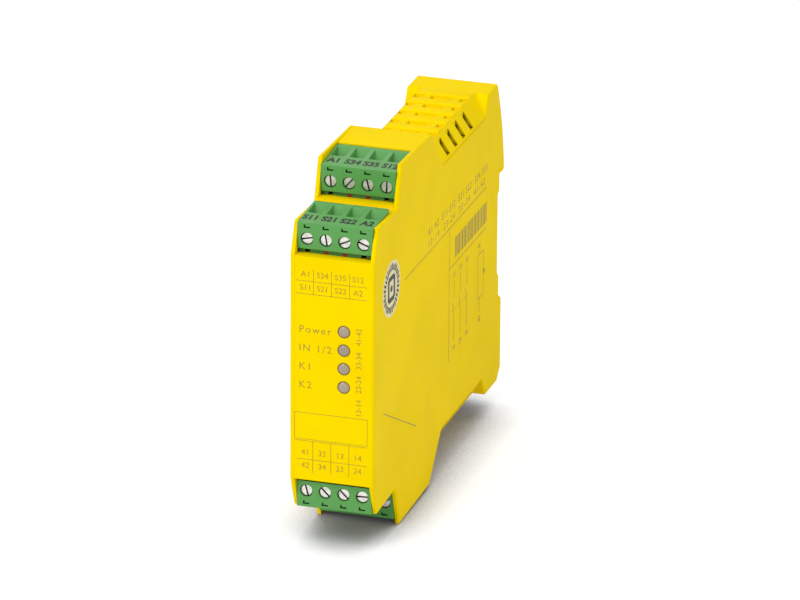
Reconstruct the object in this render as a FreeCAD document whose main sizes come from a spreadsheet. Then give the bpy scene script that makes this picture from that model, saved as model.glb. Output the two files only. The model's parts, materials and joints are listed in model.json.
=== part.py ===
"""Safety relay for a 35 mm mounting rail, 22.5 mm wide, with four pluggable terminal blocks.

Frame: +Z up, the front panel faces -Y, and the origin is the middle of the plane in which
the housing seats on the rail.  Every size is a cell of the spreadsheet "Sizes"; the
outlines below are written as expressions of those cells and stay bound to them.
"""
import FreeCAD, Part
import math
import os
import re
import Sketcher

# ---------------------------------------------------------------- driving dimensions (mm)
SIZES = {
    # terminals and housing width
    "poles": 4,
    "pitch": 5.0,
    "side_play": 0.1,
    "wall": 1.15,
    "skin": 1.5,
    "edge_bevel": 0.4,
    # side profile, measured from the front panel and from the middle height
    "front_depth": 110.5,
    "panel_half": 30.6,
    "cheek_lean": 3.4,
    "cheek_rise": 8.5,
    "cheek_fall": 0.7,
    "cheek_reveal": 0.15,
    "crest_rise": 10.4,
    "step_rise": 8.8,
    "lip": 1.4,
    "crest_end": 48.7,
    "slope_end": 59.3,
    "eaves_height": 37.0,
    # louvred roof
    "roof_height": 42.5,
    "roof_half": 7.5,
    "roof_end": 96.0,
    "block_rise": 3.5,
    "vent_first": 65.0,
    "vent_pitch": 6.9,
    "vent_count": 5,
    "vent_slot": 2.3,
    "vent_inset": 0.5,
    "recess_deep": 0.6,
    "recess_long": 5.4,
    "recess_short": 2.1,
    # rail seat, hook and latch
    "rail_half": 17.5,
    "rail_play": 0.2,
    "flange_gap": 1.35,
    "lip_hold": 1.3,
    "hook_out": 4.0,
    "hook_height": 18.8,
    "hook_radius": 80.0,
    "block_back": 2.5,
    "pad_inner": 12.0,
    "rib_half": 3.0,
    "recess_rail": 1.4,
    "foot_height": 39.2,
    "foot_out": 2.4,
    "foot_slope": 3.3,
    "foot_front": 10.6,
    "slide_play": 0.15,
    "latch_thick": 2.3,
    "latch_nose": 3.65,
    "latch_travel": 2.6,
    "latch_tongue": 1.2,
    "guide_width": 1.2,
    "window_half": 3.5,
    "window_top": 23.0,
    "ledge_height": 34.6,
    "ledge_thick": 1.4,
    "spring_strip": 0.35,
    "spring_folds": 6,
    # plugs
    "setback": 2.1,
    "plug_depth": 13.9,
    "plug_front": 7.1,
    "plug_back": 7.9,
    "plug_play": 0.2,
    "mate_gap": 0.15,
    "bore_height": 2.7,
    "bore_radius": 1.7,
    "bore_deep": 2.0,
    "web": 0.8,
    "cell_half": 1.95,
    "cell_floor": 0.45,
    "cell_top": 4.7,
    "funnel_half": 1.95,
    "funnel_front": 6.3,
    "funnel_long": 6.6,
    "throat_half": 1.15,
    "throat_long": 2.2,
    "probe_height": 6.0,
    "probe_wide": 1.7,
    "probe_thick": 0.42,
    "probe_deep": 1.5,
    # terminal screw and tension sleeve
    "head_radius": 1.45,
    "head_thick": 1.2,
    "head_sunk": 0.55,
    "slot_width": 0.45,
    "slot_deep": 0.6,
    "shaft_radius": 1.1,
    "shaft_play": 0.15,
    "thread_play": 0.05,
    "screw_tip": 6.15,
    "sleeve_half": 1.75,
    "sleeve_start": 4.75,
    "sleeve_long": 5.5,
    "sleeve_web": 1.0,
    "sleeve_rear": 0.8,
    "sleeve_side": 0.55,
    "sleeve_low": 1.0,
    "sleeve_high": 4.4,
    # contacts and pins
    "bar_half": 1.1,
    "bar_thick": 0.8,
    "tip_gap": 0.05,
    "leg_thick": 0.4,
    "fork_start": 10.9,
    "fork_long": 2.4,
    "fork_leaf": 0.35,
    "pin_half": 0.5,
    "pin_play": 0.05,
    "pin_reach": 3.1,
    # headers
    "header_floor": 1.0,
    "header_back": 1.5,
    "header_rise": 5.2,
    "header_play": 0.1,
    "boss_half": 9.0,
    "boss_height": 1.4,
    "key_wide": 1.3,
    "key_deep": 3.0,
    "key_tab": 0.9,
    # circuit board and what it carries
    "board_thick": 1.6,
    "board_front": 6.0,
    "board_step": 21.0,
    "board_back": 104.5,
    "board_half": 36.2,
    "board_nose": 25.0,
    "solder": 0.9,
    "lamp_x": 3.15,
    "lamp_top": 11.2,
    "lamp_pitch": 5.05,
    "lamp_radius": 1.65,
    "lamp_play": 0.05,
    "guide_half": 1.4,
    "guide_thick": 2.2,
    "pin_first": 3.0,
    "pin_stagger": 1.6,
    "relay_start": 58.0,
    "relay_long": 28.0,
    "relay_wide": 12.8,
    "relay_tall": 15.2,
    "relay_gap": 1.6,
    "core_start": 30.0,
    "core_long": 20.0,
    "core_wide": 24.0,
    "core_tall": 14.0,
    "can_radius": 5.0,
    "can_tall": 15.5,
    "can_back": 96.5,
    "can_height": 23.0,
    "tab_long": 3.0,
    "tab_thick": 1.0,
}

doc = FreeCAD.newDocument("safety_relay")
sheet = doc.addObject("Spreadsheet::Sheet", "Sizes")
for row, (alias, value) in enumerate(SIZES.items(), start=1):
    sheet.set(f"A{row}", alias)
    sheet.set(f"B{row}", str(value))
    sheet.setAlias(f"B{row}", alias)
doc.recompute()

# ---------------------------------------------------------------- derived places
# Each is an expression of the cells above, kept as text so that features can be bound to it.
INSIDE = "(poles * pitch / 2 + side_play)"
OUTSIDE = "(poles * pitch / 2 + side_play + wall)"
FRONT = "(0 - front_depth)"
TIER_RUN = "(setback + plug_depth + mate_gap + header_back + skin)"
CHEEK_TOP = "(panel_half + cheek_rise)"
CHEEK_BACK = "(panel_half + cheek_rise - cheek_fall)"
CREST = "(panel_half + cheek_rise + crest_rise)"
CREST_BACK = "(panel_half + cheek_rise + crest_rise - cheek_fall)"
FIRST_POLE = "(0 - (poles - 1) * pitch / 2)"
BOARD_FACE = "(poles * pitch / 2 + side_play - board_thick)"
SLOPE = "((slope_end - crest_end) / (panel_half + cheek_rise + crest_rise - cheek_fall - eaves_height))"
SLANT = "(skin * 1.35)"

TIERS = ("front", "rear")
SIDES = (("upper", 1), ("lower", -1))


def cell(expression):
    """The expression with every cell name pointed at the spreadsheet."""
    return re.sub(r"[a-z_]+", lambda word: f"Sizes.{word[0]}" if word[0] in SIZES else word[0],
                  str(expression))


def value(expression):
    """The expression's present value in millimetres."""
    return float(sheet.evalExpression(cell(expression)))


def behind(expression):
    """A place so far behind the front panel, as a Y coordinate."""
    return f"({FRONT} + {expression})"


def tier_front(tier):
    """Y of the edge from which a tier's plug is set back."""
    return f"({FRONT} + {tier} * {TIER_RUN})"


def shelf(tier):
    """Height of the shelf that carries a tier's header."""
    return f"(panel_half + {tier} * step_rise)"


def plug_face(tier):
    """Y of a plug's front face."""
    return f"({tier_front(tier)} + setback)"


def plug_floor(tier):
    """Height of a plug's underside, above the header's floor."""
    return f"({shelf(tier)} + header_floor + plug_play)"


def header_face(tier):
    """Y of the header's back block, just behind the plug."""
    return f"({plug_face(tier)} + plug_depth + mate_gap)"


# ---------------------------------------------------------------- modelling helpers
def new_body(label):
    body = doc.addObject("PartDesign::Body", label)
    body.Label = label
    body.AllowCompound = True
    return body


def origin_plane(body, role):
    return [item for item in body.Origin.OriginFeatures if item.Role == role][0]


def new_sketch(body, name, role, level):
    """A sketch parallel to an origin plane; level is measured along the plane's own normal."""
    sketch = body.newObject("Sketcher::SketchObject", name)
    sketch.AttachmentSupport = [(origin_plane(body, role), "")]
    sketch.MapMode = "FlatFace"
    sketch.AttachmentOffset = FreeCAD.Placement(FreeCAD.Vector(0, 0, value(level)), FreeCAD.Rotation())
    sketch.setExpression("AttachmentOffset.Base.z", cell(level))
    return sketch


def fix_point(sketch, geometry, end, place):
    """Bind one end of a piece of geometry to a pair of expressions."""
    for kind, expression in zip(("DistanceX", "DistanceY"), place):
        index = sketch.addConstraint(
            Sketcher.Constraint(kind, -1, 1, geometry, end, value(expression)))
        sketch.setExpression(f"Constraints[{index}]", cell(expression))


def draw_outline(sketch, points):
    """A closed outline.  A point is (x, y), or (x, y, radius, turn) where an arc leads to it that
    bulges to the left (1) or to the right (-1) of the direction of travel."""
    places = [FreeCAD.Vector(value(point[0]), value(point[1]), 0) for point in points]
    ends = []
    for index, point in enumerate(points):
        start, finish = places[index - 1], places[index]
        if len(point) == 2:
            sketch.addGeometry(Part.LineSegment(start, finish))
            ends.append((1, 2))
            continue
        chord = finish - start
        radius = value(point[2])
        rise = radius - math.sqrt(radius ** 2 - (chord.Length / 2) ** 2)
        aside = FreeCAD.Vector(-chord.y, chord.x, 0).normalize() * (rise * point[3])
        sketch.addGeometry(Part.Arc(start, (start + finish) * 0.5 + aside, finish))
        forward = sketch.getPoint(index, 1).distanceToPoint(start) < 1e-6
        ends.append((1, 2) if forward else (2, 1))
    for index, point in enumerate(points):
        following = (index + 1) % len(points)
        sketch.addConstraint(Sketcher.Constraint(
            "Coincident", index, ends[index][1], following, ends[following][0]))
        fix_point(sketch, index, ends[index][1], point[:2])
        if len(point) > 2:
            bound = sketch.addConstraint(Sketcher.Constraint("Radius", index, value(point[2])))
            sketch.setExpression(f"Constraints[{bound}]", cell(point[2]))


def prism(body, name, role, points, low, high, cut=False):
    """A straight extrusion of an outline between two coordinates along the plane's axis."""
    return extrude(body, name, role, lambda sketch: draw_outline(sketch, points), low, high, cut)


def disc(body, name, role, centre, radius, low, high, cut=False):
    """A round extrusion between two coordinates along the plane's axis."""
    def draw(sketch):
        sketch.addGeometry(Part.Circle(FreeCAD.Vector(value(centre[0]), value(centre[1]), 0),
                                       FreeCAD.Vector(0, 0, 1), value(radius)))
        fix_point(sketch, 0, 3, centre)
        index = sketch.addConstraint(Sketcher.Constraint("Radius", 0, value(radius)))
        sketch.setExpression(f"Constraints[{index}]", cell(radius))
    return extrude(body, name, role, draw, low, high, cut)


def extrude(body, name, role, draw, low, high, cut):
    """The XZ plane looks along -Y, so there the extrusion starts at its high end."""
    level = f"0 - ({high})" if role == "XZ_Plane" else low
    sketch = new_sketch(body, f"{body.Label}_{name}_sketch", role, level)
    draw(sketch)
    kind = "PartDesign::Pocket" if cut else "PartDesign::Pad"
    before = body.Tip
    feature = body.newObject(kind, f"{body.Label}_{name}")
    feature.Profile = sketch
    feature.Reversed = cut
    feature.Length = value(f"({high}) - ({low})")
    feature.setExpression("Length", cell(f"({high}) - ({low})"))
    sketch.Visibility = False
    doc.recompute()
    if before is not None and abs(feature.Shape.Volume - before.Shape.Volume) < 1e-6:
        raise RuntimeError(f"{feature.Label} changes nothing")
    return feature


def rectangle(x_low, x_high, y_low, y_high):
    return [(x_low, y_low), (x_high, y_low), (x_high, y_high), (x_low, y_high)]


def mirrored(outline, side):
    """An outline in Y and Z, turned over to the lower half where side is -1."""
    return [(across, f"{side} * ({height})") for across, height in outline]


def mirrored_range(low, high, side):
    """Two heights in rising order, in the upper or the lower half."""
    return (low, high) if side > 0 else (f"0 - ({high})", f"0 - ({low})")


def repeat_poles(body, features):
    """Repeat the features of the first pole along X, once for each pole."""
    pattern = body.newObject("PartDesign::LinearPattern", f"{body.Label}_poles")
    pattern.Originals = features
    axis = [item for item in body.Origin.OriginFeatures if item.Role == "X_Axis"][0]
    pattern.Direction = (axis, [""])
    pattern.Length = value("(poles - 1) * pitch")
    pattern.setExpression("Length", cell("(poles - 1) * pitch"))
    pattern.Occurrences = int(SIZES["poles"])
    pattern.setExpression("Occurrences", cell("poles"))
    body.Tip = pattern
    doc.recompute()
    return pattern


# ---------------------------------------------------------------- housing
HOOK = [
    ("0 - block_back", "roof_height"),
    ("hook_out", "hook_height", "hook_radius", 1),
    ("hook_out", "rail_half - lip_hold + 0.6"),
    ("hook_out - 0.8", "rail_half - lip_hold"),
    ("flange_gap", "rail_half - lip_hold"),
    ("flange_gap", "rail_half + rail_play"),
    ("0", "rail_half + rail_play"),
    ("0", "pad_inner"),
    ("0 - recess_rail", "pad_inner - 1"),
    ("0 - recess_rail", "1 - pad_inner"),
    ("0", "0 - pad_inner"),
]


def cheek_outline():
    """The side walls' outline: two steps, the slope behind them, the eaves under the louvred
    roof, the rear block with the rail hook above and the foot below."""
    upper = [
        (FRONT, "panel_half"),
        (behind("cheek_lean"), CHEEK_TOP),
        (behind(f"({TIER_RUN} + cheek_reveal)"), CHEEK_BACK),
        (behind(f"({TIER_RUN} + cheek_reveal + cheek_lean)"), CREST),
        (behind("crest_end"), CREST_BACK),
        (behind("slope_end"), "eaves_height"),
        (behind("roof_end"), "eaves_height"),
    ]
    block = [(behind("(roof_end + block_rise)"), "roof_height")]
    foot = [
        ("0", "0 - (rail_half + rail_play)"),
        ("foot_out", "0 - (rail_half + rail_play + 1.6)"),
        ("foot_out", "0 - foot_height"),
        ("foot_out - foot_slope", "0 - roof_height"),
        (behind("(roof_end + block_rise)"), "0 - roof_height"),
    ]
    return upper + block + HOOK + foot + mirrored(upper, -1)[::-1]


def stair_outline():
    """Half the skin that closes the front between the side walls: the panel, a shelf and a
    riser for each header, the crest and the slope down to the eaves."""
    riser = [f"({header_face(tier)} + header_back)" for tier in (0, 1)]
    lip_under = [f"({plug_floor(tier)} + header_rise + plug_play)" for tier in (0, 1)]
    reveal = behind(f"({TIER_RUN} + cheek_reveal)")
    outer = [
        (FRONT, "0"),
        (FRONT, "panel_half"),
        (riser[0], shelf(0)),
        (riser[0], lip_under[0]),
        (f"{riser[0]} - lip", lip_under[0]),
        (f"{riser[0]} - lip", CHEEK_BACK),
        (reveal, CHEEK_BACK),
        (reveal, shelf(1)),
        (riser[1], shelf(1)),
        (riser[1], lip_under[1]),
        (f"{riser[1]} - lip", lip_under[1]),
        (f"{riser[1]} - lip", CREST_BACK),
        (behind("crest_end"), CREST_BACK),
        (behind("slope_end"), "eaves_height"),
    ]
    inner = [
        (behind(f"(slope_end - {SLANT})"), "eaves_height"),
        (behind(f"(crest_end - {SLANT} + skin * {SLOPE})"), f"{CREST_BACK} - skin"),
        (f"{riser[1]} + skin", f"{CREST_BACK} - skin"),
        (f"{riser[1]} + skin", f"{shelf(1)} - skin"),
        (f"{riser[0]} + skin", f"{shelf(1)} - skin"),
        (f"{riser[0]} + skin", f"{shelf(0)} - skin"),
        (behind("skin"), f"{shelf(0)} - skin"),
        (behind("skin"), "0"),
    ]
    return outer + inner


def spine_outline():
    """The skin round the rear block: from the eaves over the block and the rail hook, down the
    rail seat, and forward under the foot to the lower eaves."""
    outer = [
        (behind("roof_end"), "eaves_height"),
        (behind("(roof_end + block_rise)"), "roof_height"),
    ] + HOOK + [
        ("0", "0 - foot_height"),
        (behind("(roof_end + block_rise)"), "0 - foot_height"),
        (behind("(roof_end + block_rise)"), "0 - roof_height"),
        (behind("roof_end"), "0 - eaves_height"),
    ]
    inner = [
        (behind(f"(roof_end + {SLANT})"), "0 - eaves_height"),
        (behind(f"(roof_end + {SLANT} + 1)"), "0 - (foot_height - skin)"),
        ("0 - skin", "0 - (foot_height - skin)"),
        ("0 - skin", "0 - (pad_inner + 1)"),
        ("0 - (recess_rail + skin)", "0 - pad_inner"),
        ("0 - (recess_rail + skin)", "pad_inner"),
        ("0 - skin", "pad_inner + 1"),
        ("0 - skin", "rail_half + rail_play + skin"),
        ("hook_out - skin", "rail_half + rail_play + skin"),
        ("0 - (block_back + skin)", "roof_height - skin", "hook_radius - skin", -1),
        (behind("(roof_end + block_rise + 1)"), "roof_height - skin"),
        (behind(f"(roof_end + {SLANT})"), "eaves_height"),
    ]
    return outer + inner


def add_side_wall(body, low, high, outer_face):
    """One side wall as a plate, the edges of its outer face bevelled."""
    plate = prism(body, "side_wall", "YZ_Plane", cheek_outline(), low, high)
    face_x = value(outer_face)
    edges = [f"Edge{index}" for index, edge in enumerate(plate.Shape.Edges, start=1)
             if all(abs(vertex.X - face_x) < 1e-6 for vertex in edge.Vertexes)]
    bevel = body.newObject("PartDesign::Chamfer", f"{body.Label}_edges")
    bevel.Base = (plate, edges)
    bevel.Size = value("edge_bevel")
    bevel.setExpression("Size", cell("edge_bevel"))
    doc.recompute()


def add_latch_guide(body, low, high):
    """The rib on a side wall that holds the foot latch's tongue against the housing."""
    rib = rectangle("latch_tongue + slide_play", "foot_out",
                    "0 - (foot_height - 1.5)", "0 - (rail_half + rail_play + 3)")
    prism(body, "latch_guide", "YZ_Plane", rib, low, high)


def roof_inside(side):
    """The room under the louvred roof, seen from the front."""
    return [
        (f"{SLANT} - {OUTSIDE}", f"{side} * eaves_height"),
        ("skin * 0.7 - roof_half", f"{side} * (roof_height - skin)"),
        ("roof_half - skin * 0.7", f"{side} * (roof_height - skin)"),
        (f"{OUTSIDE} - {SLANT}", f"{side} * eaves_height"),
    ]


def build_tub():
    """Right-hand wall, stepped front and rear block, with the openings between them and the
    room under each roof."""
    body = new_body("tub")
    add_side_wall(body, INSIDE, OUTSIDE, OUTSIDE)
    across = (f"0 - {INSIDE}", INSIDE)
    prism(body, "spine", "YZ_Plane", spine_outline(), *across)
    for name, side in SIDES:
        prism(body, f"{name}_stair", "YZ_Plane", mirrored(stair_outline(), side), *across)
        prism(body, f"{name}_air_way", "XZ_Plane", roof_inside(side),
              behind("crest_end"), behind("slope_end"), cut=True)
    prism(body, "block_air_way", "XZ_Plane", roof_inside(1),
          behind("(roof_end - 1)"), behind("(roof_end + block_rise + skin)"), cut=True)
    rib = rectangle("0 - recess_rail - skin", "0", "0 - rib_half", "rib_half")
    prism(body, "seat_rib", "YZ_Plane", rib, *across)
    add_latch_guide(body, f"{INSIDE} - guide_width", INSIDE)
    ledge = rectangle("0 - skin / 2", "latch_thick", "0 - ledge_height", "ledge_thick - ledge_height")
    prism(body, "spring_ledge", "YZ_Plane", ledge, "0.4 - window_half", "window_half - 0.4")
    for index in range(LAMPS):
        disc(body, f"lamp_hole_{index + 1}", "XZ_Plane", ("lamp_x", lamp_height(index)),
             "lamp_radius + lamp_play", f"{FRONT} - 1", behind("(skin + 0.5)"), cut=True)
    for name, side in SIDES:
        for tier, row in enumerate(TIERS):
            riser = f"({header_face(tier)} + header_back)"
            prism(body, f"{name}_{row}_window", "XZ_Plane", boss_outline(tier, side, "0"),
                  f"{riser} - 0.1", f"{riser} + skin + 0.1", cut=True)
    return body


def build_roof(name, side):
    """A louvred roof over the vented middle: a flat top between two chamfered flanks, cut off
    along the slope in front and the rise of the rear block, with slots through the flanks and
    shallow recesses across the top."""
    body = new_body(f"{name}_roof")
    inside = roof_inside(side)
    outside = [(f"0 - {OUTSIDE}", inside[0][1]), ("0 - roof_half", f"{side} * roof_height"),
               ("roof_half", f"{side} * roof_height"), (OUTSIDE, inside[0][1])]
    prism(body, "cap", "XZ_Plane", outside + inside[::-1],
          behind("crest_end"), behind("(roof_end + block_rise)"))
    brow = f"({SLOPE} * (roof_height + 1 - eaves_height))"
    ends = (
        ("front_end", [("slope_end", "eaves_height"), ("crest_end - 1", "eaves_height"),
                       ("crest_end - 1", "roof_height + 1"),
                       (f"slope_end - {brow}", "roof_height + 1")]),
        ("back_end", [("roof_end", "eaves_height"),
                      ("roof_end + block_rise / (roof_height - eaves_height)"
                       " * (roof_height + 1 - eaves_height)", "roof_height + 1"),
                      ("roof_end + block_rise + 2", "roof_height + 1"),
                      ("roof_end + block_rise + 2", "eaves_height")]),
    )
    for end, corners in ends:
        outline = mirrored([(behind(f"({depth})"), height) for depth, height in corners], side)
        prism(body, end, "YZ_Plane", outline, f"0 - {OUTSIDE} - 1", f"{OUTSIDE} + 1", cut=True)
    low, high = mirrored_range("eaves_height", "roof_height + 1", side)
    for row in range(int(SIZES["vent_count"])):
        middle = f"(vent_first + {row - 1} * vent_pitch)"
        span = (behind(f"({middle} - vent_slot / 2)"), behind(f"({middle} + vent_slot / 2)"))
        for flank, sign in (("right", 1), ("left", -1)):
            inner, outer = f"{sign} * (roof_half + vent_inset)", f"{sign} * ({OUTSIDE} - vent_inset)"
            prism(body, f"{flank}_slot_{row + 1}", "XY_Plane", rectangle(inner, outer, *span),
                  low, high, cut=True)
    floor = mirrored_range("roof_height - recess_deep", "roof_height + 1", side)
    for row in range(int(SIZES["vent_count"])):
        middle = f"(vent_first + {row} * vent_pitch)"
        span = (behind(f"({middle} - vent_slot / 2)"), behind(f"({middle} + vent_slot / 2)"))
        for place, centre, length in (("left", "0 - roof_half + recess_short / 2 + 0.2", "recess_short"),
                                      ("middle", "0", "recess_long"),
                                      ("right", "roof_half - recess_short / 2 - 0.2", "recess_short")):
            across = (f"{centre} - {length} / 2", f"{centre} + {length} / 2")
            prism(body, f"{place}_recess_{row + 1}", "XY_Plane", rectangle(*across, *span),
                  *floor, cut=True)
    return body


def build_housing():
    """The moulded housing: the tub and its two roofs in one piece."""
    pieces = [build_tub()] + [build_roof(name, side) for name, side in SIDES]
    housing = doc.addObject("Part::MultiFuse", "housing_shell")
    housing.Label = "housing_shell"
    housing.Shapes = pieces
    housing.Refine = True
    doc.recompute()
    return housing


def build_side_cover():
    """The left-hand wall, a separate cover with snap tabs that hook inside the tub."""
    body = new_body("side_cover")
    add_side_wall(body, f"0 - {OUTSIDE}", f"0 - {INSIDE}", f"0 - {OUTSIDE}")
    inner = f"0 - {INSIDE}"
    add_latch_guide(body, inner, f"{inner} + guide_width")
    tabs = (
        ("front_upper", behind("(skin + side_play)"), "panel_half - 8"),
        ("front_lower", behind("(skin + side_play)"), "5 - panel_half"),
        ("rear_upper", "0 - (recess_rail + skin + side_play + tab_thick)", "pad_inner - 8"),
        ("rear_lower", "0 - (recess_rail + skin + side_play + tab_thick)", "5 - pad_inner"),
    )
    for name, near, low in tabs:
        outline = rectangle(near, f"{near} + tab_thick", low, f"{low} + tab_long")
        prism(body, f"{name}_tab", "YZ_Plane", outline, inner, f"{inner} + tab_long")
    return body


# ---------------------------------------------------------------- foot latch and its spring
def build_foot_latch():
    """The sliding foot: a nose that grips behind the rail's lower edge, a plate that runs
    between the guide ribs, and a leg with a slot for the screwdriver that pulls it down."""
    body = new_body("foot_latch")
    half = f"({INSIDE} - guide_width - slide_play)"
    back = "(slide_play + latch_thick)"
    shoulder = "0 - (rail_half + rail_play + slide_play)"
    leg_top = "0 - (foot_height + slide_play)"
    outline = [
        ("flange_gap", "lip_hold - rail_half"),
        ("latch_nose - 0.6", "lip_hold - rail_half - 0.4"),
        ("latch_nose", "lip_hold - rail_half - 1.2"),
        ("latch_nose", "lip_hold - rail_half - 2.4"),
        (back, "lip_hold - rail_half - 3.4"),
        (back, "0 - foot_height"),
        (f"{back} - foot_slope", "0 - roof_height"),
        ("0 - foot_front", "0 - roof_height"),
        ("0 - foot_front", leg_top),
        ("slide_play", leg_top),
        ("slide_play", shoulder),
        ("flange_gap", shoulder),
    ]
    prism(body, "plate", "YZ_Plane", outline, f"0 - {half}", half)
    tongue = rectangle("slide_play", "latch_tongue", "1 - foot_height", "0 - (rail_half + rail_play + 3)")
    reach = f"({INSIDE} - slide_play)"
    prism(body, "tongues", "YZ_Plane", tongue, f"0 - {reach}", reach)
    window = rectangle("0 - window_half", "window_half", "0 - (ledge_height + slide_play)", "0 - window_top")
    prism(body, "window", "XZ_Plane", window, "0", "latch_nose + 1", cut=True)
    slot = rectangle("0 - 3", "3", "2 - foot_front", "4.4 - foot_front")
    prism(body, "pull_slot", "XY_Plane", slot, "0 - (roof_height + 1)", "1 - foot_height", cut=True)
    return body


def build_latch_spring():
    """A stamped strip folded to and fro between the latch's window and the housing's ledge."""
    body = new_body("latch_spring")
    top, bottom = "(0 - window_top)", "(ledge_thick - ledge_height)"
    reach = "(window_half - 0.3)"
    depth = ("slide_play + 0.2", "slide_play + latch_thick - 0.3")
    folds = int(SIZES["spring_folds"])
    for fold in range(folds + 1):
        low = f"({bottom} + {fold} * ({top} - {bottom} - spring_strip) / spring_folds)"
        prism(body, f"run_{fold + 1}", "XZ_Plane",
              rectangle(f"0 - {reach}", reach, low, f"{low} + spring_strip"), *depth)
    for fold in range(folds):
        low = f"({bottom} + {fold} * ({top} - {bottom} - spring_strip) / spring_folds)"
        high = f"({bottom} + {fold + 1} * ({top} - {bottom} - spring_strip) / spring_folds)"
        inner, outer = (f"{reach} - spring_strip", reach) if fold % 2 else (
            f"0 - {reach}", f"spring_strip - {reach}")
        prism(body, f"turn_{fold + 1}", "XZ_Plane",
              rectangle(inner, outer, f"{low} + spring_strip", high), *depth)
    return body


# ---------------------------------------------------------------- headers, pins and coding tabs
def pin_height(tier):
    return f"({plug_floor(tier)} + bore_height)"


def boss_outline(tier, side, play):
    """The header's boss and the window that it fills, seen from the front."""
    middle = f"{side} * {pin_height(tier)}"
    return rectangle(f"{play} - boss_half", f"boss_half - {play}",
                     f"{middle} - (boss_height - {play})", f"{middle} + (boss_height - {play})")


def build_header(name, side, tier, row):
    """The header under and behind a plug: a floor with coding notches in its front edge, and
    a back block whose boss carries the pins through the riser."""
    body = new_body(f"header_{name}_{row}")
    near = f"({plug_face(tier)} + 0.6)"
    face = header_face(tier)
    floor_top = f"({shelf(tier)} + header_floor)"
    outline = mirrored([
        (near, shelf(tier)),
        (near, floor_top),
        (face, floor_top),
        (face, f"{plug_floor(tier)} + header_rise"),
        (f"{face} + header_back", f"{plug_floor(tier)} + header_rise"),
        (f"{face} + header_back", shelf(tier)),
    ], side)
    half = f"({INSIDE} - header_play)"
    prism(body, "block", "YZ_Plane", outline, f"0 - {half}", half)
    prism(body, "boss", "XZ_Plane", boss_outline(tier, side, "header_play"),
          f"{face} + header_back", f"{face} + header_back + skin")
    low, high = mirrored_range(f"{shelf(tier)} - 0.5", f"{floor_top} + 0.5", side)
    middle = f"{side} * {pin_height(tier)}"
    repeat_poles(body, [
        prism(body, "pin_hole", "XZ_Plane",
              rectangle(f"{FIRST_POLE} - pin_half", f"{FIRST_POLE} + pin_half",
                        f"{middle} - pin_half", f"{middle} + pin_half"),
              f"{face} - 0.5", f"{face} + header_back + skin + 0.5", cut=True),
        prism(body, "notch", "XY_Plane",
              rectangle(f"{FIRST_POLE} - key_wide / 2", f"{FIRST_POLE} + key_wide / 2",
                        f"{near} - 0.5", f"{near} + key_deep"), low, high, cut=True),
    ])
    return body


def build_header_pins(name, side, tier, row):
    """Four square pins: straight through the header, then bent across to the circuit board,
    each a little shorter than its neighbour so that they pass one another."""
    body = new_body(f"header_pins_{name}_{row}")
    face = header_face(tier)
    middle = f"{side} * {pin_height(tier)}"
    for pole in range(int(SIZES["poles"])):
        x = f"({FIRST_POLE} + {pole} * pitch)"
        end = f"({face} + header_back + skin + pin_first + (poles - 1 - {pole}) * pin_stagger)"
        prism(body, f"reach_{pole + 1}", "XZ_Plane",
              rectangle(f"{x} - pin_half", f"{x} + pin_half",
                        f"{middle} - pin_half", f"{middle} + pin_half"), f"{face} - pin_reach", end)
        prism(body, f"tail_{pole + 1}", "YZ_Plane",
              rectangle(f"{end} - 2 * pin_half", end, f"{middle} - pin_half", f"{middle} + pin_half"),
              x, BOARD_FACE)
    return body


def build_coding_tabs():
    """The small coding tabs pressed into two notches of each header."""
    body = new_body("coding_tabs")
    for name, side in SIDES:
        for tier, row in enumerate(TIERS):
            near = f"({plug_face(tier)} + 0.6)"
            low, high = mirrored_range(shelf(tier), f"{shelf(tier)} + header_floor", side)
            for pole in (1, 2):
                x = f"({FIRST_POLE} + {pole} * pitch)"
                prism(body, f"{name}_{row}_{pole}", "XY_Plane",
                      rectangle(f"{x} - key_wide / 2", f"{x} + key_wide / 2", near, f"{near} + key_deep"),
                      low, high)
    return body


# ---------------------------------------------------------------- plugs
def build_plug(name, side, tier, row):
    """A four-pole plug: sloping top with a wire funnel for each pole, a stepped screw bore and
    a test slot in the front, and a cell open to the rear that holds the clamp and contact."""
    body = new_body(f"plug_{name}_{row}")
    face, floor = plug_face(tier), plug_floor(tier)
    half = "(poles * pitch / 2)"
    outline = mirrored([
        (face, floor),
        (face, f"{floor} + plug_front"),
        (f"{face} + plug_depth", f"{floor} + plug_back"),
        (f"{face} + plug_depth", floor),
    ], side)
    prism(body, "block", "YZ_Plane", outline, f"0 - {half}", half)
    axis = (FIRST_POLE, f"{side} * ({floor} + bore_height)")
    shoulder = f"({face} + bore_deep)"
    cell_outline = mirrored(rectangle(f"{FIRST_POLE} - cell_half", f"{FIRST_POLE} + cell_half",
                                      f"{floor} + cell_floor", f"{floor} + cell_top"), side)
    features = [
        prism(body, "cell", "XZ_Plane", cell_outline, f"{shoulder} + web",
              f"{face} + plug_depth + 0.1", cut=True),
        disc(body, "bore", "XZ_Plane", axis, "bore_radius", f"{face} - 0.1", shoulder, cut=True),
        disc(body, "shaft_hole", "XZ_Plane", axis, "shaft_radius + shaft_play",
             f"{shoulder} - 0.1", f"{shoulder} + web + 0.1", cut=True),
        prism(body, "test_slot", "XZ_Plane", probe_outline(f"{side} * ({floor} + probe_height)"),
              f"{face} - 0.1", f"{face} + probe_deep", cut=True),
        add_funnel(body, side, face, floor),
    ]
    repeat_poles(body, features)
    return body


def probe_outline(height):
    """The L-shaped test slot of the first pole, upright on every plug."""
    left, foot = f"{FIRST_POLE} - probe_wide / 2", f"{height} - probe_thick"
    return [
        (left, foot),
        (f"{left} + probe_wide", foot),
        (f"{left} + probe_wide", f"{foot} + probe_thick"),
        (f"{left} + probe_thick", f"{foot} + probe_thick"),
        (f"{left} + probe_thick", f"{foot} + 2.2 * probe_thick"),
        (left, f"{foot} + 2.2 * probe_thick"),
    ]


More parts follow.
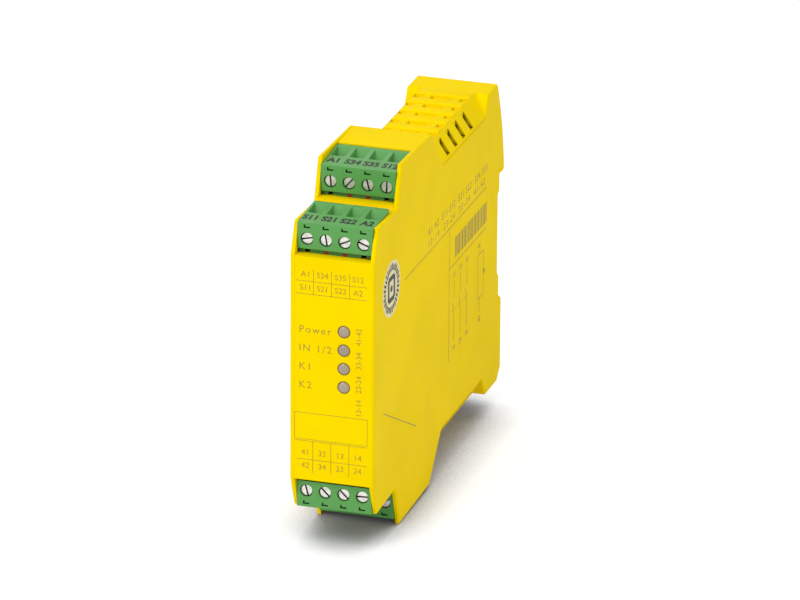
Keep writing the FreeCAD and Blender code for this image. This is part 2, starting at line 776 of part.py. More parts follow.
def add_funnel(body, side, face, floor):
    """A tapering way for the wire, from the mouth in the top down into the cell."""
    mouth_front = f"({face} + funnel_front)"
    throat_front = f"({face} + screw_tip + tip_gap + bar_thick)"
    sections = []
    for name, half, near, long, height in (
            ("mouth", "funnel_half", mouth_front, "funnel_long", f"{floor} + plug_back + 0.1"),
            ("throat", "throat_half", throat_front, "throat_long", f"{floor} + cell_top - 0.1")):
        sketch = new_sketch(body, f"{body.Label}_{name}", "XY_Plane", f"{side} * ({height})")
        draw_outline(sketch, rectangle(f"{FIRST_POLE} - {half}", f"{FIRST_POLE} + {half}",
                                       near, f"{near} + {long}"))
        sketch.Visibility = False
        sections.append(sketch)
    before = body.Tip.Shape.Volume
    funnel = body.newObject("PartDesign::SubtractiveLoft", f"{body.Label}_funnel")
    funnel.Profile = sections[0]
    funnel.Sections = [sections[1]]
    funnel.Ruled = True
    doc.recompute()
    if funnel.Shape.Volume > before - 1e-6:
        raise RuntimeError(f"{funnel.Label} cuts nothing")
    return funnel


def build_contacts(name, side, tier, row):
    """Four contacts: a current bar that stands in the sleeve, a leg under it, and a fork of two
    leaves that grips the header's pin."""
    body = new_body(f"contacts_{name}_{row}")
    face, floor = plug_face(tier), plug_floor(tier)
    bar, bottom = f"({face} + screw_tip + tip_gap)", f"({floor} + cell_floor)"
    leg_top = f"({bottom} + leg_thick)"
    fork = f"({face} + fork_start)"
    outline = mirrored([
        (bar, bottom),
        (bar, f"{floor} + cell_top - 0.1"),
        (f"{bar} + bar_thick", f"{floor} + cell_top - 0.1"),
        (f"{bar} + bar_thick", leg_top),
        (f"{fork} + fork_long", leg_top),
        (f"{fork} + fork_long", bottom),
    ], side)
    leaf = mirrored(rectangle(fork, f"{fork} + fork_long", bottom, f"{floor} + bore_height + 1"), side)
    inner, outer = "(pin_half + pin_play)", "(pin_half + pin_play + fork_leaf)"
    repeat_poles(body, [
        prism(body, "bar", "YZ_Plane", outline, f"{FIRST_POLE} - bar_half", f"{FIRST_POLE} + bar_half"),
        prism(body, "left_leaf", "YZ_Plane", leaf, f"{FIRST_POLE} - {outer}", f"{FIRST_POLE} - {inner}"),
        prism(body, "right_leaf", "YZ_Plane", leaf, f"{FIRST_POLE} + {inner}", f"{FIRST_POLE} + {outer}"),
    ])
    return body


# Angle of each screw's slot from the horizontal, in degrees, by plug and pole.
SLOT_ANGLES = {
    ("upper", "rear"): (95, 50, 105, 88),
    ("upper", "front"): (12, 100, 25, 160),
    ("lower", "front"): (105, 135, 135, 3),
    ("lower", "rear"): (60, 20, 110, 35),
}


def build_screw(name, side, tier, row, pole):
    """A slotted terminal screw, sunk in the plug's bore, its tip against the current bar."""
    body = new_body(f"screw_{name}_{row}_{pole + 1}")
    face = plug_face(tier)
    x, z = f"({FIRST_POLE} + {pole} * pitch)", f"{side} * ({plug_floor(tier)} + bore_height)"
    top, under = f"({face} + head_sunk)", f"({face} + head_sunk + head_thick)"
    disc(body, "head", "XZ_Plane", (x, z), "head_radius", top, under)
    disc(body, "shaft", "XZ_Plane", (x, z), "shaft_radius", under, f"{face} + screw_tip")
    angle = math.radians(SLOT_ANGLES[name, row][pole])
    along, across = "(head_radius + 0.2)", "(slot_width / 2)"
    corners = []
    for reach, offset in ((-1, -1), (1, -1), (1, 1), (-1, 1)):
        corners.append((
            f"{x} + {reach * math.cos(angle):.5f} * {along} - {offset * math.sin(angle):.5f} * {across}",
            f"{z} + {reach * math.sin(angle):.5f} * {along} + {offset * math.cos(angle):.5f} * {across}"))
    prism(body, "slot", "XZ_Plane", corners, f"{top} - 0.1", f"{top} + slot_deep", cut=True)
    return body


def build_sleeve(name, side, tier, row, pole):
    """A tension sleeve: a square frame round the current bar, threaded on the screw."""
    body = new_body(f"sleeve_{name}_{row}_{pole + 1}")
    face, floor = plug_face(tier), plug_floor(tier)
    x = f"({FIRST_POLE} + {pole} * pitch)"
    front, back = f"({face} + sleeve_start)", f"({face} + sleeve_start + sleeve_long)"
    frame = mirrored(rectangle(front, back, f"{floor} + sleeve_low", f"{floor} + sleeve_high"), side)
    prism(body, "frame", "YZ_Plane", frame, f"{x} - sleeve_half", f"{x} + sleeve_half")
    inner = "(sleeve_half - sleeve_side)"
    low, high = mirrored_range(f"{floor} + sleeve_low - 0.5", f"{floor} + sleeve_high + 0.5", side)
    prism(body, "wire_window", "XY_Plane",
          rectangle(f"{x} - {inner}", f"{x} + {inner}", f"{front} + sleeve_web", f"{back} - sleeve_rear"),
          low, high, cut=True)
    disc(body, "thread_hole", "XZ_Plane", (x, f"{side} * ({floor} + bore_height)"),
         "shaft_radius + thread_play", f"{front} - 0.1", f"{front} + sleeve_web + 0.1", cut=True)
    return body


# ---------------------------------------------------------------- electronics
LAMPS = 4


def lamp_height(index):
    return f"(lamp_top - {index} * lamp_pitch)"


def build_board():
    """The circuit board on the right-hand wall, with a lobe behind each header."""
    body = new_body("circuit_board")
    lobe = f"({plug_face(1)} + plug_depth + mate_gap + header_back + skin + 1.2)"
    crown = f"({CREST_BACK} - skin - 1.2)"
    upper = [
        (behind("board_front"), "board_nose"),
        (behind("board_step"), "board_nose"),
        (behind("board_step"), "board_half"),
        (lobe, "board_half"),
        (lobe, crown),
        (behind("(crest_end - 2.5)"), crown),
        (behind("(slope_end - 4.5)"), "board_half"),
        (behind("board_back"), "board_half"),
    ]
    prism(body, "plate", "YZ_Plane", upper + mirrored(upper, -1)[::-1], BOARD_FACE, INSIDE)
    return body


def build_light_guide():
    """One clear moulding with the four lamp windows, from the panel back to the board's edge."""
    body = new_body("light_guide")
    near, far = behind("skin"), behind("(skin + guide_thick)")
    left, arm, tip = "lamp_x - guide_half", f"{BOARD_FACE} - solder - 0.7", behind("(board_front + 1.5)")
    outline = [(left, near), (BOARD_FACE, near), (BOARD_FACE, tip), (arm, tip), (arm, far), (left, far)]
    prism(body, "bar", "XY_Plane", outline, f"{lamp_height(LAMPS - 1)} - guide_half",
          f"{lamp_height(0)} + guide_half")
    for index in range(LAMPS):
        disc(body, f"window_{index + 1}", "XZ_Plane", ("lamp_x", lamp_height(index)), "lamp_radius",
             FRONT, near)
    return body


def build_relay(number, side):
    """One of the two safety relays, a sealed box on the board."""
    body = new_body(f"relay_{number}")
    near, far = behind("relay_start"), behind("(relay_start + relay_long)")
    outline = mirrored(rectangle(near, far, "relay_gap / 2", "relay_gap / 2 + relay_wide"), side)
    prism(body, "case", "YZ_Plane", outline, f"{BOARD_FACE} - relay_tall", BOARD_FACE)
    return body


def build_transformer():
    """The supply's transformer: a laminated core through a wound bobbin."""
    body = new_body("transformer")
    near, far = behind("core_start"), behind("(core_start + core_long)")
    prism(body, "core", "YZ_Plane", rectangle(near, far, "0 - core_wide / 2", "core_wide / 2"),
          f"{BOARD_FACE} - core_tall", BOARD_FACE)
    prism(body, "winding", "YZ_Plane",
          rectangle(f"{near} - 2.5", f"{far} + 2.5", "0 - core_wide / 4", "core_wide / 4"),
          f"{BOARD_FACE} - core_tall + 2", f"{BOARD_FACE} - 2")
    return body


def build_capacitor():
    """The supply's smoothing capacitor, a can standing on the board."""
    body = new_body("capacitor")
    disc(body, "can", "YZ_Plane", (behind("can_back"), "can_height"), "can_radius",
         f"{BOARD_FACE} - can_tall", BOARD_FACE)
    return body


# ---------------------------------------------------------------- assembly and export
def build_all():
    nodes = [build_housing(), build_side_cover(), build_foot_latch(), build_latch_spring(),
             build_board(), build_light_guide(), build_relay(1, 1), build_relay(2, -1),
             build_transformer(), build_capacitor(), build_coding_tabs()]
    for name, side in SIDES:
        for tier, row in enumerate(TIERS):
            place = (name, side, tier, row)
            nodes += [build_header(*place), build_header_pins(*place), build_plug(*place),
                      build_contacts(*place)]
            for pole in range(int(SIZES["poles"])):
                nodes += [build_screw(*place, pole), build_sleeve(*place, pole)]
    return nodes


def check(nodes):
    """Stop if any feature failed or any node isn't a valid solid."""
    for item in doc.Objects:
        if "Invalid" in item.State or "Error" in item.State:
            raise RuntimeError(f"{item.Label} failed: {item.State}")
    for node in nodes:
        if node.Shape.isNull() or not node.Shape.isValid() or not node.Shape.Solids:
            raise RuntimeError(f"{node.Label} is not a valid solid")


all_nodes = build_all()
doc.recompute()
check(all_nodes)
os.makedirs("parts", exist_ok=True)
for node in all_nodes:
    node.Shape.exportStep(f"parts/{node.Label}.step")
    print(f"{node.Label}: {len(node.Shape.Solids)} solid(s), {node.Shape.Volume:.1f} mm3")
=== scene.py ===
import json
import math

import bmesh
import bpy
from mathutils import Matrix, Vector

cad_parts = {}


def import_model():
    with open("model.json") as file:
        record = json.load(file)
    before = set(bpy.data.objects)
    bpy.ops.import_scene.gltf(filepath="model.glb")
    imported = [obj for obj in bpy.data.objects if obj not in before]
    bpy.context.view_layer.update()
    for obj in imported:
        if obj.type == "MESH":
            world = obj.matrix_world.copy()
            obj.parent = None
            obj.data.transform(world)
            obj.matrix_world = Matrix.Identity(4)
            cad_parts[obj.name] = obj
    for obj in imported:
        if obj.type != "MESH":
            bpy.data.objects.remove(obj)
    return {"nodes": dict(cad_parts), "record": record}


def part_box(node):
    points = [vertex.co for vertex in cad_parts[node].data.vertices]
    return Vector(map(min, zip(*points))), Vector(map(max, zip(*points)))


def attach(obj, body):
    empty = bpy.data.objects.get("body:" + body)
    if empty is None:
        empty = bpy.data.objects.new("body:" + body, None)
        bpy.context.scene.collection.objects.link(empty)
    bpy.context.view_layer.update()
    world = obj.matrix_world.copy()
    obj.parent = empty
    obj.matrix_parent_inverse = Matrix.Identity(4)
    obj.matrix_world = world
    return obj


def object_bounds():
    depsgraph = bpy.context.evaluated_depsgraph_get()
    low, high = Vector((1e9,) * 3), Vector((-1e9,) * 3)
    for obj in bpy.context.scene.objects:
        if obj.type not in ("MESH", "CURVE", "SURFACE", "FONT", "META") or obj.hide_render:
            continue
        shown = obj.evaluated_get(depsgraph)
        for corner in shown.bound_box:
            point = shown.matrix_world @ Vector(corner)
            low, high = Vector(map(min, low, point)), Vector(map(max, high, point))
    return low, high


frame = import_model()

cad_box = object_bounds()
low, high = (Vector(corner) for corner in cad_box)
MM = 0.001
HALF_WIDTH = high.x
FRONT = low.y
PRINT_THICK = 0.02 * MM

# Print: stroke widths of ruled lines and text heights, in mm
HAIRLINE = 0.12
RULE = 0.14
SIDE_RULE = 0.2
SMALL_TEXT = 1.6
SIZE_OF_CAPITAL = 1.37  # font size over the height of a capital

# Vented roofs, in mm: height and half width of the top face, distance of the first row of
# recesses from the front, and the rows' spacing. Every row lies between two ridges.
ROOF_TOP = 42.5
ROOF_HALF = 7.5
FIRST_ROW = 65.0
ROW_PITCH = 6.9
RIDGES = 6

# Lamps, in mm: across the front from its middle, and up from its middle
LAMP_ACROSS = 3.15
LAMP_HEIGHTS = (11.2, 6.15, 1.1, -3.95)


# ---------------------------------------------------------------- materials
def linear(red, green, blue):
    """A colour given on a 0 to 255 scale, as linear light."""
    def channel(level):
        level /= 255
        return level / 12.92 if level <= 0.04045 else ((level + 0.055) / 1.055) ** 2.4
    return channel(red), channel(green), channel(blue), 1.0


class Nodes:
    """A material's node tree with a Principled shader and object coordinates at hand."""

    def __init__(self, name):
        self.material = bpy.data.materials.new(name)
        self.material.use_nodes = True
        self.tree = self.material.node_tree
        self.shader = self.tree.nodes["Principled BSDF"]
        self.place = self.add("ShaderNodeTexCoord").outputs["Object"]

    def add(self, kind, **values):
        node = self.tree.nodes.new(kind)
        for key, value in values.items():
            socket = node.inputs.get(key.replace("_", " "))
            if socket is None:
                setattr(node, key, value)
            else:
                socket.default_value = value
        return node

    def link(self, start, end):
        self.tree.links.new(start, end)

    def noise(self, scale, detail=3.0, stretch=None):
        texture = self.add("ShaderNodeTexNoise", Scale=scale, Detail=detail)
        place = self.place
        if stretch:
            mapping = self.add("ShaderNodeMapping")
            mapping.inputs["Scale"].default_value = stretch
            self.link(place, mapping.inputs["Vector"])
            place = mapping.outputs["Vector"]
        self.link(place, texture.inputs["Vector"])
        return texture.outputs["Fac"]

    def colours(self, factor, dark, light, low=0.35, high=0.65):
        ramp = self.add("ShaderNodeValToRGB")
        ramp.color_ramp.elements[0].position = low
        ramp.color_ramp.elements[0].color = dark
        ramp.color_ramp.elements[1].position = high
        ramp.color_ramp.elements[1].color = light
        self.link(factor, ramp.inputs["Fac"])
        self.link(ramp.outputs["Color"], self.shader.inputs["Base Color"])

    def maths(self, operation, *values):
        node = self.add("ShaderNodeMath", operation=operation)
        for socket, value in zip(node.inputs, values):
            if isinstance(value, (int, float)):
                socket.default_value = value
            else:
                self.link(value, socket)
        return node.outputs["Value"]

    def vent_shade_mask(self):
        """One in the vented flanks of the roofs, where the painted shade goes deeper, and nought
        elsewhere.
        """
        inner_edge, lower_edge, middle, half_length = 7.6 * MM, 37.4 * MM, 78.5 * MM, 19 * MM
        parts = self.add("ShaderNodeSeparateXYZ")
        self.link(self.place, parts.inputs["Vector"])
        outward = self.maths("GREATER_THAN", self.maths("ABSOLUTE", parts.outputs["X"]), inner_edge)
        high_up = self.maths("GREATER_THAN", self.maths("ABSOLUTE", parts.outputs["Z"]), lower_edge)
        along = self.maths("COMPARE", parts.outputs["Y"], FRONT + middle, half_length)
        return self.maths("MULTIPLY", self.maths("MULTIPLY", outward, high_up), along)

    def shade_cavities(self, reach, darkest, closed, opened, vents=False):
        """Painted shade: darken the colour deep in slots and gaps, fully where the openness is
        below closed, not at all above opened. With vents, the roofs' flanks count as less open and
        get deeper painted shade."""
        colour = self.shader.inputs["Base Color"].links[0].from_socket
        hollow = self.add("ShaderNodeAmbientOcclusion", samples=8, Distance=reach)
        shade = self.add("ShaderNodeMapRange", From_Min=closed, From_Max=opened,
                         To_Min=darkest, To_Max=1.0)
        if vents:
            lowered = self.maths("MULTIPLY_ADD", self.vent_shade_mask(), -0.32, hollow.outputs["AO"])
            self.link(lowered, shade.inputs["Value"])
        else:
            self.link(hollow.outputs["AO"], shade.inputs["Value"])
        product = self.add("ShaderNodeMix", data_type="RGBA", blend_type="MULTIPLY")
        product.inputs["Factor"].default_value = 1.0
        self.link(colour, product.inputs[6])
        self.link(shade.outputs["Result"], product.inputs[7])
        self.link(product.outputs[2], self.shader.inputs["Base Color"])

    def roughness(self, factor, low, high):
        span = self.add("ShaderNodeMapRange", From_Min=0.3, From_Max=0.7, To_Min=low, To_Max=high)
        self.link(factor, span.inputs["Value"])
        self.link(span.outputs["Result"], self.shader.inputs["Roughness"])

    def relief(self, factor, distance, strength=0.4, edge=0.25 * MM):
        """Bump from the factor, over normals that round every edge a little."""
        bump = self.add("ShaderNodeBump", Strength=strength, Distance=distance)
        self.link(factor, bump.inputs["Height"])
        rounded = self.add("ShaderNodeBevel", samples=4, Radius=edge)
        self.link(rounded.outputs["Normal"], bump.inputs["Normal"])
        self.link(bump.outputs["Normal"], self.shader.inputs["Normal"])


def shifted(colour, amount):
    return tuple(min(1.0, channel * amount) for channel in colour[:3]) + (1.0,)


def plastic(name, colour, rough=(0.38, 0.5), grain=2600, depth=0.03 * MM, spread=0.03,
            edge=0.25 * MM, gloss=0.3, cavity_shade=None, tint=(1, 1, 1, 1)):
    """Moulded plastic: faint cloudy colour, a fine eroded texture and soft edges, with painted
    shade deep in its slots and gaps where asked for.
    """
    nodes = Nodes(name)
    nodes.shader.inputs["Specular IOR Level"].default_value = gloss
    nodes.shader.inputs["Specular Tint"].default_value = tint
    nodes.colours(nodes.noise(45), shifted(colour, 1 - spread), shifted(colour, 1 + spread))
    if cavity_shade:
        nodes.shade_cavities(*cavity_shade)
    nodes.roughness(nodes.noise(300), *rough)
    nodes.relief(nodes.noise(grain, 2.0), depth, edge=edge)
    return nodes.material


def metal(name, colour, rough=(0.22, 0.4), stretch=(1, 1, 1), cavity_shade=None):
    """Plated or rolled metal: streaks along one direction, uneven sheen, with painted shade deep in
    its slots where asked for.
    """
    scale, edge = 900, 0.06 * MM
    nodes = Nodes(name)
    nodes.shader.inputs["Metallic"].default_value = 1.0
    streaks = nodes.noise(scale, 4.0, stretch)
    nodes.colours(streaks, shifted(colour, 0.8), shifted(colour, 1.12))
    if cavity_shade:
        nodes.shade_cavities(*cavity_shade)
    nodes.roughness(nodes.noise(scale * 0.6), *rough)
    nodes.relief(streaks, 0.01 * MM, 0.3, edge)
    return nodes.material


def ink(name, colour):
    """Pad-printed ink, slightly uneven in cover and sheen."""
    nodes = Nodes(name)
    nodes.colours(nodes.noise(1500), shifted(colour, 0.85), shifted(colour, 1.15))
    nodes.roughness(nodes.noise(900), 0.45, 0.6)
    return nodes.material


def winding(name, dark, light):
    """Enamelled wire or laminations: fine bands across the piece."""
    nodes = Nodes(name)
    bands = nodes.add("ShaderNodeTexWave", Scale=420.0, Distortion=0.6)
    nodes.link(nodes.place, bands.inputs["Vector"])
    nodes.colours(bands.outputs["Fac"], dark, light)
    nodes.roughness(nodes.noise(500), 0.35, 0.55)
    nodes.relief(bands.outputs["Fac"], 0.05 * MM)
    return nodes.material


YELLOW = linear(252, 219, 0)
GREEN = linear(84, 156, 74)

# Painted shade: the housing's colour darkens deep in its slots and gaps, nearly black in the roofs'
# vent slots.
HOUSING = dict(rough=(0.52, 0.64), gloss=0.05, cavity_shade=(7 * MM, 0.01, 0.08, 0.22, True),
               tint=(1, 0.8, 0.05, 1))

MATERIALS = {
    "housing_yellow": plastic("housing_yellow", YELLOW, **HOUSING),
    "cover_yellow": plastic("cover_yellow", YELLOW, **HOUSING),
    # Plugs, header and screws also get painted shade deep in their funnels, gaps and slots.
    "plug_green": plastic("plug_green", GREEN, rough=(0.36, 0.48), depth=0.02 * MM,
                          edge=0.15 * MM, gloss=0.5, cavity_shade=(5 * MM, 0.12, 0.15, 0.4)),
    "header_green": plastic("header_green", linear(66, 128, 62), rough=(0.42, 0.55),
                            edge=0.1 * MM, cavity_shade=(5 * MM, 0.08, 0.15, 0.5)),
    "latch_black": plastic("latch_black", linear(48, 48, 50), rough=(0.42, 0.55)),
    "screw_steel": metal("screw_steel", linear(226, 224, 217), rough=(0.32, 0.5), stretch=(1, 8, 1),
                         cavity_shade=(2 * MM, 0.06, 0.3, 0.55)),
    "sleeve_steel": metal("sleeve_steel", linear(196, 196, 192), stretch=(1, 1, 6)),
    "spring_steel": metal("spring_steel", linear(170, 172, 178), stretch=(8, 1, 1)),
    "contact_brass": metal("contact_brass", linear(206, 196, 160), stretch=(1, 6, 1)),
    "pin_brass": metal("pin_brass", linear(214, 198, 150), stretch=(1, 6, 1)),
    "board_green": plastic("board_green", linear(24, 92, 52), rough=(0.25, 0.4), grain=1400,
                           spread=0.2, edge=0.05 * MM),
    "lamp_clear": plastic("lamp_clear", linear(168, 152, 136), rough=(0.15, 0.25), grain=900,
                          spread=0.12, edge=0.2 * MM, gloss=0.5),
    "relay_case": plastic("relay_case", linear(236, 234, 226), rough=(0.3, 0.42)),
    "core_dark": winding("core_dark", linear(40, 36, 32), linear(92, 70, 48)),
    "can_aluminium": plastic("can_aluminium", linear(60, 66, 90), rough=(0.25, 0.35),
                             spread=0.12),
    "tab_red": plastic("tab_red", linear(118, 44, 36), rough=(0.4, 0.5), edge=0.08 * MM),
}
FRONT_INK = ink("panel_ink", linear(176, 150, 8))
SIDE_INK = ink("side_ink", linear(140, 118, 10))

for entry in frame["record"]["subparts"]:
    mesh = frame["nodes"][entry["node"]].data
    mesh.materials.clear()
    mesh.materials.append(MATERIALS[entry["material_slot"]])


def add_piece(name, mesh, body, material):
    """Turn a bmesh into a piece that rides a body and fills a material slot."""
    data = bpy.data.meshes.new(name)
    mesh.to_mesh(data)
    mesh.free()
    piece = bpy.data.objects.new(name, data)
    bpy.context.scene.collection.objects.link(piece)
    data.materials.append(material)
    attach(piece, body)


# ---------------------------------------------------------------- printing
class Print:
    """A thin layer of ink on a flat face, collected into one mesh.

    The origin is a point of the face; right and up are the print's own directions on it.
    Everything drawn is placed in mm from the origin along those two."""

    def __init__(self, name, origin, right, up):
        self.name = name
        self.mesh = bmesh.new()
        right, up = Vector(right).normalized(), Vector(up).normalized()
        self.matrix = Matrix((right, up, right.cross(up))).transposed().to_4x4()
        self.matrix.translation = Vector(origin)

    def polygon(self, corners):
        for level, order in ((PRINT_THICK, 1), (0.0, -1)):
            points = [self.matrix @ Vector((x * MM, y * MM, level)) for x, y in corners][::order]
            self.mesh.faces.new([self.mesh.verts.new(point) for point in points])

    def bar(self, x_low, x_high, y_low, y_high):
        self.polygon([(x_low, y_low), (x_high, y_low), (x_high, y_high), (x_low, y_high)])

    def line(self, start, end, width):
        start, end = Vector(start), Vector(end)
        along = (end - start).normalized()
        aside = Vector((-along.y, along.x)) * (width / 2)
        self.polygon([start - aside, end - aside, end + aside, start + aside])

    def frame(self, x_low, x_high, y_low, y_high, width):
        for start, end in (((x_low, y_low), (x_high, y_low)), ((x_low, y_high), (x_high, y_high)),
                           ((x_low, y_low), (x_low, y_high)), ((x_high, y_low), (x_high, y_high))):
            self.line(start, end, width)

    def disc(self, x, y, radius, inner=0.0, segments=48):
        """A disc, or a ring where inner is given."""
        for step in range(segments):
            angles = [math.tau * part / segments for part in (step, step + 1)]
            outer = [(x + radius * math.cos(a), y + radius * math.sin(a)) for a in angles]
            core = [(x + inner * math.cos(a), y + inner * math.sin(a)) for a in angles[::-1]]
            self.polygon(outer + (core if inner else [(x, y)]))

    def words(self, text, x, y, height, turn=0.0, align="CENTER", weight=0.0, spacing=1.0,
              narrow=1.0):
        """Text whose capitals are about height tall; weight thickens its strokes."""
        curve = bpy.data.curves.new("words", "FONT")
        curve.body = text
        curve.size = height * SIZE_OF_CAPITAL * MM
        curve.align_x = align
        curve.align_y = "CENTER"
        curve.extrude = PRINT_THICK / 2
        curve.offset = weight * height * MM
        curve.space_character = spacing
        curve.resolution_u = 3
        holder = bpy.data.objects.new("words", curve)
        bpy.context.scene.collection.objects.link(holder)
        mesh = bpy.data.meshes.new_from_object(holder)
        place = Matrix.Translation((x * MM, y * MM, PRINT_THICK / 2))
        squeeze = Matrix.Diagonal((narrow, 1.0, 1.0, 1.0))
        mesh.transform(self.matrix @ place @ Matrix.Rotation(math.radians(turn), 4, "Z") @ squeeze)
        self.mesh.from_mesh(mesh)
        bpy.data.meshes.remove(mesh)
        bpy.data.objects.remove(holder)

    def finish(self, body, material):
        add_piece(self.name, self.mesh, body, material)


def print_front():
    """Terminal tables above and below, lamp captions and the empty label field."""
    front = Print("front_print", (0, FRONT, 0), (1, 0, 0), (0, 0, 1))
    columns = (-7.1, -2.6, 2.2, 6.9)
    label_left, label_right, label_top, label_bottom = -9.95, 9.48, -12.1, -19.35
    for z in (23.9, 20.4):
        front.line((-9.6, z), (9.3, z), RULE)
    for x in (-5.0, -0.2, 4.6):
        front.line((x, 27.2), (x, 20.4), RULE)
    for row, words in ((25.7, ("A1", "S34", "S35", "S12")), (22.1, ("S11", "S21", "S22", "A2"))):
        for x, word in zip(columns, words):
            front.words(word, x, row, SMALL_TEXT)
    for z, caption in zip(LAMP_HEIGHTS, ("Power", "IN 1/2", "K1", "K2")):
        front.words(caption, -8.9, z - 0.5, 2.0, align="LEFT", spacing=1.25)
    front.words("13-14   23-24   33-34   41-42", 7.2, 0.5, 1.5, turn=90)
    front.frame(label_left, label_right, label_bottom, label_top, HAIRLINE)
    front.line((label_left, -19.8), (label_right, -19.8), HAIRLINE)
    front.line((-9.3, -24.9), (9.2, -24.9), RULE)
    for x in (-5.1, -0.25, 4.6):
        front.line((x, -19.8), (x, -28.4), RULE)
    for row, words in ((-23.0, ("41", "33", "13", "14")), (-26.6, ("42", "34", "23", "24"))):
        for x, word in zip(columns, words):
            front.words(word, x, row, SMALL_TEXT)
    front.finish("root", FRONT_INK)


def print_side():
    """The right-hand side: contact diagram, code bars, terminal rows and ruled lines."""
    side = Print("side_print", (HALF_WIDTH, FRONT, 0), (0, 1, 0), (0, 0, 1))
    side.line((25.5, 17.1), (98, 17.1), SIDE_RULE)
    side.line((65, 17.1), (65, -20.2), SIDE_RULE)
    side.line((65, 5.7), (98, 5.7), SIDE_RULE)
    offset = 70.0
    for index in range(30):  # bars and gaps of a few widths in a made-up order
        width = 0.25 + 0.45 * ((index * 7 + index // 3) % 4) / 3
        side.bar(offset, offset + width, 7.2, 12.9)
        offset += width + 0.3 + 0.22 * ((index * 5) % 3)
    side.words("A1 A2  S11 S12  S21 S22  S34 S35", 46, 22.6, 2.0, align="LEFT", spacing=1.35)
    side.words("13-14  23-24  33-34  41-42", 46, 19.3, 2.0, align="LEFT", spacing=1.6)
    for y, top, bottom in ((69.4, "13", "14"), (75.1, "23", "24"), (80.9, "33", "34")):
        side.words(top, y, 2.8, SMALL_TEXT)
        side.line((y, 1.2), (y, -4.2), SIDE_RULE)
        side.line((y - 1.1, -4.8), (y, -9.4), SIDE_RULE)
        side.line((y, -9.4), (y, -15.8), SIDE_RULE)
        side.words(bottom, y, -17.9, SMALL_TEXT)
    for index in range(7):
        side.line((68.6 + index * 2.0, -7.2), (69.6 + index * 2.0, -7.2), HAIRLINE)
    side.words("41", 92.2, 2.6, SMALL_TEXT)
    side.frame(91.0, 96.0, -12.2, 0.2, 0.16)
    side.polygon([(96.0, -5.0), (97.4, -6.0), (96.0, -7.0)])
    side.line((92.4, 0.2), (92.4, 1.2), SIDE_RULE)
    side.line((92.4, -12.2), (92.4, -16.0), SIDE_RULE)
    side.words("42", 92.4, -18.2, SMALL_TEXT)
    side.line((8.0, -13.2), (36.5, -27.4), 0.22)
    side.finish("root", SIDE_INK)


def print_plug(name, side, words):
    """Terminal names on the strip in front of a plug's funnels."""
    corner_low, corner_high = (Vector(corner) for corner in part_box(f"plug_{name}"))
    strip_drop, strip_run, first_pole, pole_pitch = 0.8, 13.9, -7.5, 5
    slope = math.atan2(strip_drop, strip_run)
    edge = corner_high.z - strip_drop * MM if side > 0 else corner_low.z + strip_drop * MM
    up = Vector((0, math.cos(slope), side * math.sin(slope)))
    right = Vector((side, 0, 0))
    label = Print(f"label_{name}", (0, corner_low.y, edge), right, up)
    for index, word in enumerate(words):
        label.words(word, side * (first_pole + pole_pitch * index), 3.4, 2.8, weight=0.06,
                    narrow=0.76)
    label.finish(f"plug_{name}", ink(f"ink_{name}", linear(8, 20, 8)))


print_front()
print_side()
print_plug("upper_front", 1, ("S11", "S21", "S22", "A2"))
print_plug("upper_rear", 1, ("A1", "S34", "S35", "S12"))
print_plug("lower_front", -1, ("41", "33", "13", "14"))
print_plug("lower_rear", -1, ("42", "34", "23", "24"))


# ---------------------------------------------------------------- sticker and lamps
def round_sticker():
    """A cream seal on the right-hand side: a ring of ticks round an open square with a dot."""
    centre = (HALF_WIDTH, FRONT + 14.3 * MM, 18.8 * MM)
    ticks, tick_foot, tick_width = 30, 4.9, 0.75
    paper = Print("seal_paper", centre, (0, 1, 0), (0, 0, 1))
    paper.disc(0, 0, 7.5)
    cream = plastic("seal_paper", linear(236, 226, 176), rough=(0.5, 0.65), grain=900)
    paper.finish("root", cream)
    marks = Print("seal_mark", (centre[0] + 1.2 * PRINT_THICK, *centre[1:]), (0, 1, 0), (0, 0, 1))
    for turn in range(ticks):
        angle = math.radians(360 / ticks * turn)
        reach = 6.7 if turn % 3 else 6.3
        marks.line((tick_foot * math.cos(angle), tick_foot * math.sin(angle)),
                   (reach * math.cos(angle), reach * math.sin(angle)), tick_width)
    marks.frame(-2.4, 2.4, -2.9, 2.9, 1.3)
    marks.disc(0, 0, 0.9)
    marks.finish("root", ink("seal_ink", linear(34, 32, 26)))


def lamp_lens(index, height):
    """A low dome over one of the light guide's windows."""
    mesh = bmesh.new()
    radius, rise, rings, segments = 1.42 * MM, 0.4 * MM, 7, 40
    previous = [mesh.verts.new((0, -rise, 0))] * segments  # the top, shared by the first ring
    for ring in range(1, rings + 1):
        share = ring / rings
        circle = []
        for step in range(segments):
            angle = math.tau * step / segments
            circle.append(mesh.verts.new((radius * share * math.cos(angle),
                                          -rise * (1 - share ** 2),
                                          radius * share * math.sin(angle))))
        for step in range(segments):
            after = (step + 1) % segments
            corners = [previous[step], previous[after], circle[after], circle[step]]
            face = mesh.faces.new(list(dict.fromkeys(corners)))
            face.smooth = True
        previous = circle
    bmesh.ops.recalc_face_normals(mesh, faces=mesh.faces)
    mesh.transform(Matrix.Translation((LAMP_ACROSS * MM, FRONT, height * MM)))
    add_piece(f"lamp_lens_{index}", mesh, "root", MATERIALS["lamp_clear"])


def painted_lamp_rim_shade():
    """Rings of painted shade round each lamp window, where the gap round the lens would lie in
    shadow.
    """
    rims = Print("painted_lamp_rim_shade", (LAMP_ACROSS * MM, FRONT, 0), (1, 0, 0), (0, 0, 1))
    for height in LAMP_HEIGHTS:
        rims.disc(0, height, 1.7, 1.36)
    rims.finish("root", ink("rim_shade", linear(122, 98, 22)))


